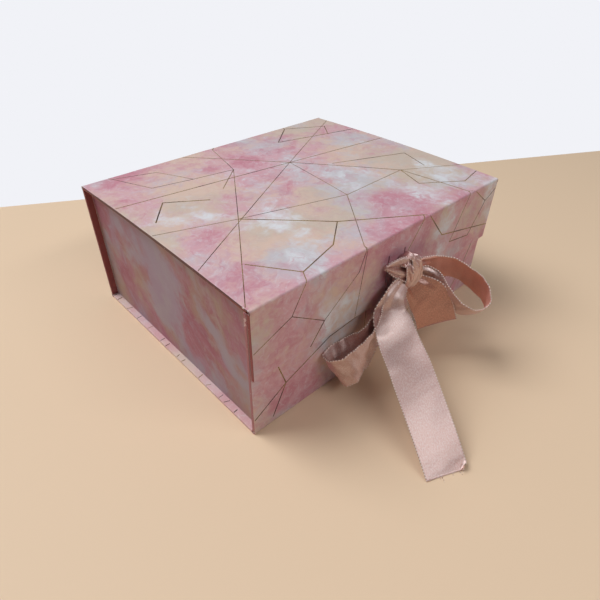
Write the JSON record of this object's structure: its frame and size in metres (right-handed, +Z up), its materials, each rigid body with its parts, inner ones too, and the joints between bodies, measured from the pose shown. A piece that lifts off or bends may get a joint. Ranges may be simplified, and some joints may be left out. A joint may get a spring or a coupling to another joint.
{
  "type": "foldable gift box",
  "caption": "Rigid folding gift box with a hinged lid, a magnetic front flap and a satin ribbon bow, wrapped in printed paper.",
  "frame": {"origin": "centre of the base's underside", "axes": "+X to the right along the front, +Y from the front to the spine, +Z up"},
  "size_m": [0.22, 0.2707, 0.0931],
  "materials": {
    "printed_paper": "matt art paper with fine foil lines",
    "lining_paper": "plain uncoated paper",
    "satin_ribbon": "single-faced satin with woven edges",
    "magnet_plating": "nickel plating",
    "catch_steel": "plain steel"
  },
  "bodies": {
    "box": {"base_panel": "printed_paper", "back_panel": "printed_paper", "front_panel": "printed_paper", "left_end_wall": "printed_paper", "right_end_wall": "printed_paper", "base_front_fold": "printed_paper", "base_back_fold": "printed_paper", "lid_fold": "printed_paper", "front_lining": "lining_paper", "back_lining": "lining_paper", "base_lining": "lining_paper", "catch_disc_left": "catch_steel", "catch_disc_right": "catch_steel"},
    "lid": {"lid_panel": "printed_paper", "lid_lining": "lining_paper", "flap_fold": "printed_paper"},
    "flap": {"lid_flap": "printed_paper", "flap_lining": "lining_paper", "magnet_left": "magnet_plating", "magnet_right": "magnet_plating", "ribbon_bow": "satin_ribbon"}
  },
  "joints": [
    {"name": "lid_hinge", "type": "hinge", "parent": "box", "child": "lid", "pos_m": [0, 0.08825, 0.0915], "axis": [-1, 0, 0], "range_deg": [0, 180]},
    {"name": "flap_hinge", "type": "hinge", "parent": "lid", "child": "flap", "pos_m": [0, -0.09105, 0.0915], "axis": [-1, 0, 0], "range_deg": [0, 90]}
  ]
}
